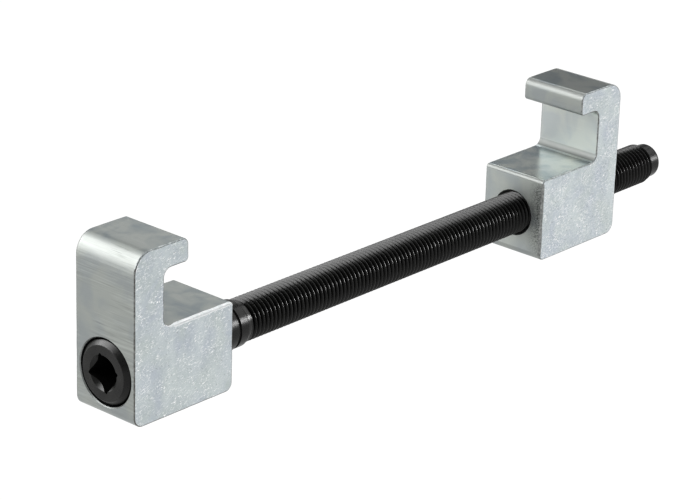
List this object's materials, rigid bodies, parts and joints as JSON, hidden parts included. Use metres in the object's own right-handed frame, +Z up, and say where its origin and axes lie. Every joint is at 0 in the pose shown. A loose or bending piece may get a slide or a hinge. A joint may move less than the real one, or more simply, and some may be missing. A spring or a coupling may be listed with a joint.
{
  "type": "ball joint separator",
  "caption": "Screw tool with two facing C-hook jaws on a square-driven spindle; the threaded jaw travels to draw together or force apart a suspension joint.",
  "frame": {"origin": "on the base plane, mid-width, below the fixed jaw's inner hook face, which the jaw opening is measured from", "axes": "+X along the spindle from the fixed jaw towards the travelling jaw, +Y across the jaws, +Z up from the base towards the hooks"},
  "size_m": [0.3782, 0.035, 0.078],
  "materials": {
    "zinc_plated_steel": "bright zinc plate, finely spangled on the sawn sides and drawn smooth on the profile faces",
    "black_oxide_steel": "oiled black oxide, glossy on the thread crests",
    "hardened_steel": "dark tempered steel, satin"
  },
  "bodies": {
    "frame": {"fixed_jaw": "zinc_plated_steel", "thrust_washer": "hardened_steel", "retaining_screw": "hardened_steel"},
    "screw": {"spindle": "black_oxide_steel"},
    "slider": {"travelling_jaw": "zinc_plated_steel"}
  },
  "joints": [
    {"name": "spindle_turn", "type": "hinge", "parent": "frame", "child": "screw", "pos_m": [0, 0, 0.0205], "axis": [1, 0, 0], "range_deg": [-5760, 27000]},
    {"name": "jaw_travel", "type": "slide", "parent": "frame", "child": "slider", "axis": [1, 0, 0], "range_m": [-0.1876, 0.0401]}
  ],
  "couplings": [
    {"joint": "jaw_travel", "follows": "spindle_turn", "m_per_rad": -0.00039789}
  ]
}
